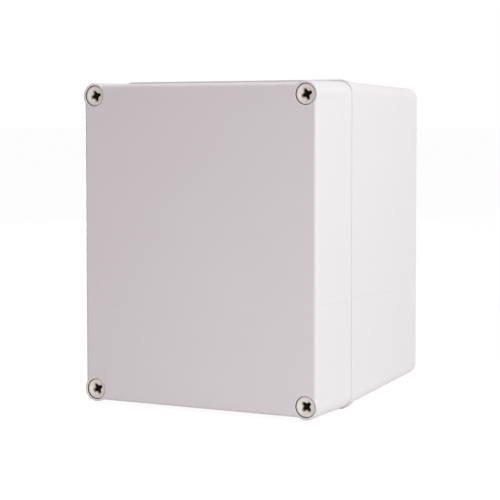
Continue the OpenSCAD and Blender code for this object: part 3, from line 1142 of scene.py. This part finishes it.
def ivory_screw():
    """Ivory engineering plastic, with painted shade: tan, then near black deeper in the cross recess, and
    a faint dusty brown round the head's side.
    """
    material, wire = new_material("ivory_screw")
    place = object_place(wire)
    y, away = from_screws(wire, place)
    top = cad_high.y - HEAD_TOP * MM

    def sunk(start, end):
        """0 above one depth under the head's top and 1 below another, in millimetres."""
        return ramp(wire, y, top + start * MM, top + end * MM)

    # Painted shade masks, by depth: tan, then near black deep in the cross recess, and a faint brown
    # round the head's side.
    inside = (1 - ramp(wire, away, 3.9 * MM, 4.6 * MM)) * (1 - sunk(3.7, 4.3))
    deep = sunk(1.4, 2.8) * inside
    rim = sunk(0.25, 0.7) * ramp(wire, away, 5.6 * MM, 6.0 * MM)
    tan = sunk(0.6, 1.9) * inside
    cloud = noise(wire, place, 260.0, 3.0)
    colour = blend(wire, cloud, srgb(243, 238, 231), srgb(248, 244, 238))
    # Painted shade: brown round the head's rim, tan in the recess, near black deep in it.
    colour = blend(wire, rim * 0.45, colour, srgb(96, 72, 56))
    colour = blend(wire, tan * 0.8, colour, srgb(150, 128, 100))
    colour = blend(wire, deep, colour, srgb(8, 6, 5))
    roughness = 0.32 + cloud * 0.12 + deep * 0.5
    sockets = {"Base Color": colour, "Roughness": roughness, "Specular IOR Level": 0.25}
    surface(wire, sockets, noise(wire, place, 2400.0), 0.1, 0.0002)
    return material


def foam_rubber():
    """Dark closed-cell rubber with fine pores."""
    material, wire = new_material("foam_rubber")
    place = object_place(wire)
    pores = cells(wire, place, 2600.0)
    colour = blend(wire, ramp(wire, pores, 0.1, 0.5), srgb(38, 38, 39), srgb(62, 61, 61))
    sockets = {"Base Color": colour, "Roughness": 0.75 + pores * 0.2}
    surface(wire, sockets, pores, 0.4, 0.0002)
    return material


def white_acetal():
    """Slippery off-white plastic with a faint fine grain."""
    material, wire = new_material("white_acetal")
    place = object_place(wire)
    cloud = noise(wire, place, 300.0, 3.0)
    colour = blend(wire, cloud, srgb(224, 223, 216), srgb(236, 235, 230))
    sockets = {"Base Color": colour, "Roughness": 0.28 + cloud * 0.1}
    surface(wire, sockets, noise(wire, place, 3000.0), 0.1, 0.0001)
    return material


def turned_brass():
    """Brass with fine turning marks and a little tarnish."""
    material, wire = new_material("turned_brass")
    place = object_place(wire)
    marks = noise(wire, wire.stretched(place, (400, 9000, 400)), 1.0)
    cloud = noise(wire, place, 500.0, 4.0)
    colour = blend(wire, cloud, srgb(214, 180, 104), srgb(228, 200, 130))
    colour = blend(wire, ramp(wire, cloud, 0.55, 0.75) * 0.5, colour, srgb(150, 112, 60))
    sockets = {"Base Color": colour, "Metallic": 1.0, "Roughness": 0.24 + cloud * 0.2}
    surface(wire, sockets, marks, 0.25, 0.0001)
    return material


# ---------------------------------------------------------------- stage, lights and camera

WHITE = (1.0, 1.0, 1.0, 1.0)
FLOOR_SIZE = 40.0
FLOOR_COLOUR = (0.85, 0.85, 0.85, 1.0)
FLOOR_SHADE = (0.12, 0.12, 0.12, 1.0)  # how much of a shadow shows on the floor
FLOOR_GLOW = 0.945
ROOM_COLOUR = (1.0, 0.78, 0.835, 1.0)
ROOM_LEVEL = 0.335

LAMP_COLOUR = (0.91, 1.0, 0.99)
MIDDLE = (0, 0, MIDDLE_Z)
# Each lamp's place, what it is turned towards, its width and height in metres, and its power.
LAMPS = {
    "side_lamp": ((1.6, -0.35, 0.75), MIDDLE, 1.4, 1.4, 11.5),
    "near_lamp": ((0.9, -0.2, 0.8), MIDDLE, 0.6, 0.6, 1.8),
    "corner_lamp": ((1.2, -0.8, 0.4), MIDDLE, 0.9, 0.9, 3.2),
    "top_lamp": ((0.0, -0.09, 1.0), MIDDLE, 1.0, 0.15, 2.2),
    "rear_lamp": ((-1.2, 1.1, 0.1), MIDDLE, 1.2, 0.18, 8.0),
    "low_lamp": ((0.08, -0.42, 0.03), (0.06, 0, 0.05), 0.25, 0.04, 0.13),
}

CAMERA_AT = (0.4145, -0.8763, 0.1746)
CAMERA_YAW = 25.685  # turns in degrees
CAMERA_PITCH = 3.138
CAMERA_ROLL = 0.075
CAMERA_LENS = 107.8  # focal length in millimetres
CAMERA_SHIFT = (0.0001, -0.0922)


def seen_by_eye(wire):
    """1 for rays that show a surface to the camera, straight, mirrored or through glass, or else 0."""
    rays = wire.node("ShaderNodeLightPath").socket.node.outputs
    camera = Wire(wire.tree, rays["Is Camera Ray"])
    glossy = Wire(wire.tree, rays["Is Glossy Ray"])
    through = Wire(wire.tree, rays["Is Transmission Ray"])
    return wire.maths("MAXIMUM", wire.maths("MAXIMUM", camera, glossy), through)


def make_floor():
    """White floor that keeps a soft shadow."""
    size = FLOOR_SIZE
    corners = [(-size, -size, 0), (size, -size, 0), (size, size, 0), (-size, size, 0)]
    floor = solid("floor", corners, [(0, 1, 2, 3)])
    material, wire = new_material("floor")
    matt = wire.node("ShaderNodeBsdfDiffuse", None, {"Color": FLOOR_COLOUR})
    pale = wire.node("ShaderNodeBsdfDiffuse", None, {"Color": FLOOR_SHADE})
    glow = wire.node("ShaderNodeEmission", None, {"Color": WHITE, "Strength": FLOOR_GLOW})
    both = wire.node("ShaderNodeAddShader", None, {0: pale, 1: glow})
    output(wire, wire.node("ShaderNodeMixShader", None, {0: seen_by_eye(wire), 1: matt, 2: both}))
    floor.data.materials.append(material)


def make_surround():
    """Soft light from all round, which looks white."""
    world = bpy.data.worlds.new("surround")
    bpy.context.scene.world = world
    world.use_nodes = True
    world.node_tree.nodes.clear()
    wire = Wire(world.node_tree)
    soft = wire.node("ShaderNodeBackground", None, {"Color": ROOM_COLOUR, "Strength": ROOM_LEVEL})
    white = wire.node("ShaderNodeBackground", None, {"Color": WHITE, "Strength": 1.0})
    shader = wire.node("ShaderNodeMixShader", None, {0: seen_by_eye(wire), 1: soft, 2: white})
    output(wire, shader, "ShaderNodeOutputWorld")


def soft_box(name, place, aim, width, height, power):
    """Rectangular lamp at place, turned towards aim."""
    lamp = bpy.data.lights.new(name, "AREA")
    lamp.shape = "RECTANGLE"
    lamp.size = width
    lamp.size_y = height
    lamp.energy = power
    lamp.color = LAMP_COLOUR
    made = bpy.data.objects.new(name, lamp)
    bpy.context.scene.collection.objects.link(made)
    made.location = place
    made.rotation_euler = (Vector(aim) - Vector(place)).to_track_quat("-Z", "Y").to_euler()


def make_camera():
    """Camera in front of the lid, to the right of it and a little above its middle."""
    lens = bpy.data.cameras.new("camera")
    lens.sensor_width = 36
    lens.lens = CAMERA_LENS
    lens.shift_x, lens.shift_y = CAMERA_SHIFT
    lens.clip_end = 100
    camera = bpy.data.objects.new("camera", lens)
    bpy.context.scene.collection.objects.link(camera)
    camera.matrix_world = (
        Matrix.Translation(CAMERA_AT)
        @ Matrix.Rotation(math.radians(CAMERA_YAW), 4, "Z")
        @ Matrix.Rotation(math.pi / 2 - math.radians(CAMERA_PITCH), 4, "X")
        @ Matrix.Rotation(-math.radians(CAMERA_ROLL), 4, "Z")
    )
    bpy.context.scene.camera = camera


# ---------------------------------------------------------------- the whole

make_camera()
make_floor()
make_surround()
for lamp_name, settings in LAMPS.items():
    soft_box(lamp_name, *settings)
shell = moulded_shell()
make_base(shell)
make_lid(shell)
ivory = ivory_screw()
make_screws(ivory)
make_small_pieces(ivory, foam_rubber(), white_acetal(), turned_brass())

bpy.context.scene.view_settings.view_transform = "Standard"
